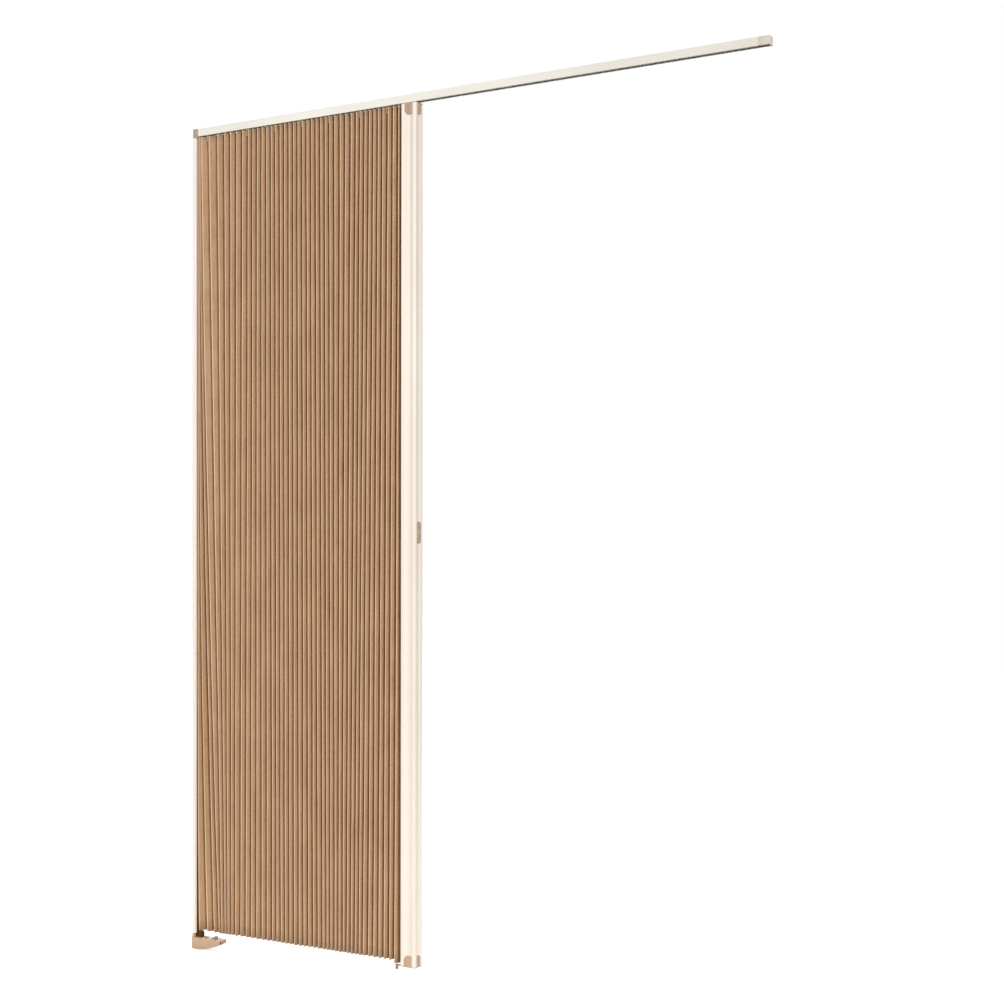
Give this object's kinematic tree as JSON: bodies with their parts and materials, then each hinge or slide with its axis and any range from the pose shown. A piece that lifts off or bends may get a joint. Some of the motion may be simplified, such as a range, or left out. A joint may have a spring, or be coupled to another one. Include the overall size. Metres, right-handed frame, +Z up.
{
  "type": "pleated sliding partition",
  "caption": "Pleated cloth partition that hangs from a ceiling rail and is drawn along it by a fluted lead stile, with a wall jamb and foot.",
  "frame": {"origin": "centre of the head rail assembly's top face, between the ceiling screw holes", "axes": "+X along the rail from the wall jamb to the free end, +Y from the front to the back, +Z up"},
  "size_m": [1.5, 0.03, 2],
  "materials": {
    "cream_enamel": "satin cream enamel",
    "tan_plastic": "fine matte moulding",
    "brown_plastic": "matte",
    "beige_plastic": "smooth moulding",
    "taupe_plastic": "matte",
    "pleated_cloth": "wood-brown, fine vertical grain, pressed folds",
    "zinc_steel": "zinc plated",
    "grey_steel": "dark grey",
    "grey_rubber": "matte",
    "magnet_iron": "ground"
  },
  "bodies": {
    "frame": {"head_rail": "cream_enamel", "rail_corner_block": "tan_plastic", "rail_end_cap": "cream_enamel", "wall_jamb": "cream_enamel", "jamb_cloth_strip": "brown_plastic", "foot": "tan_plastic", "foot_buffer": "grey_rubber", "foot_bracket": "brown_plastic", "foot_screw": "zinc_steel"},
    "stile": {"lead_stile": "cream_enamel", "stile_cloth_strip": "brown_plastic", "stile_top_cap": "tan_plastic", "stile_bottom_cap": "tan_plastic", "top_cap_screws": "zinc_steel", "bottom_cap_screws": "zinc_steel", "catch_plate": "taupe_plastic", "catch_screw": "zinc_steel", "catch_magnets": "magnet_iron", "lead_carriage": "beige_plastic", "hanger_bolt": "zinc_steel", "hanger_nut": "zinc_steel", "stop_finger": "grey_steel", "stop_finger_screw": "zinc_steel"},
    "runner_1": {"runner_1": "beige_plastic", "pleats_1": "pleated_cloth"},
    "runner_2": {"runner_2": "beige_plastic", "pleats_2": "pleated_cloth"},
    "runner_3": {"runner_3": "beige_plastic", "pleats_3": "pleated_cloth"},
    "runner_4": {"runner_4": "beige_plastic", "pleats_4": "pleated_cloth"},
    "runner_5": {"runner_5": "beige_plastic", "pleats_5": "pleated_cloth"},
    "runner_6": {"runner_6": "beige_plastic", "pleats_6": "pleated_cloth"},
    "runner_7": {"runner_7": "beige_plastic", "pleats_7": "pleated_cloth"},
    "rear_wheelset": {"rear_axle": "zinc_steel", "rear_wheels": "beige_plastic"},
    "front_wheelset": {"front_axle": "zinc_steel", "front_wheels": "beige_plastic"}
  },
  "joints": [
    {"name": "stile_slide", "type": "slide", "parent": "frame", "child": "stile", "axis": [1, 0, 0], "range_m": [-0.5255, 0.84], "deforming": ["pleats_1", "pleats_2", "pleats_3", "pleats_4", "pleats_5", "pleats_6", "pleats_7"]},
    {"name": "runner_1_slide", "type": "slide", "parent": "frame", "child": "runner_1", "axis": [1, 0, 0], "range_m": [-0.02176, 0.03449]},
    {"name": "runner_2_slide", "type": "slide", "parent": "frame", "child": "runner_2", "axis": [1, 0, 0], "range_m": [-0.12929, 0.20636]},
    {"name": "runner_3_slide", "type": "slide", "parent": "frame", "child": "runner_3", "axis": [1, 0, 0], "range_m": [-0.20309, 0.32434]},
    {"name": "runner_4_slide", "type": "slide", "parent": "frame", "child": "runner_4", "axis": [1, 0, 0], "range_m": [-0.27262, 0.43548]},
    {"name": "runner_5_slide", "type": "slide", "parent": "frame", "child": "runner_5", "axis": [1, 0, 0], "range_m": [-0.34214, 0.54661]},
    {"name": "runner_6_slide", "type": "slide", "parent": "frame", "child": "runner_6", "axis": [1, 0, 0], "range_m": [-0.4194, 0.67011]},
    {"name": "runner_7_slide", "type": "slide", "parent": "frame", "child": "runner_7", "axis": [1, 0, 0], "range_m": [-0.48514, 0.77518]},
    {"name": "rear_wheels_roll", "type": "hinge", "parent": "stile", "child": "rear_wheelset", "pos_m": [-0.117, 0, -0.01215], "axis": [0, 1, 0], "continuous": true},
    {"name": "front_wheels_roll", "type": "hinge", "parent": "stile", "child": "front_wheelset", "pos_m": [-0.103, 0, -0.01215], "axis": [0, 1, 0], "continuous": true}
  ],
  "couplings": [
    {"joint": "runner_1_slide", "follows": "stile_slide", "ratio": 0.040464},
    {"joint": "runner_2_slide", "follows": "stile_slide", "ratio": 0.24507},
    {"joint": "runner_3_slide", "follows": "stile_slide", "ratio": 0.38553},
    {"joint": "runner_4_slide", "follows": "stile_slide", "ratio": 0.51783},
    {"joint": "runner_5_slide", "follows": "stile_slide", "ratio": 0.65013},
    {"joint": "runner_6_slide", "follows": "stile_slide", "ratio": 0.79715},
    {"joint": "runner_7_slide", "follows": "stile_slide", "ratio": 0.92224},
    {"joint": "rear_wheels_roll", "follows": "stile_slide", "rad_per_m": 222.22},
    {"joint": "front_wheels_roll", "follows": "stile_slide", "rad_per_m": 222.22}
  ]
}
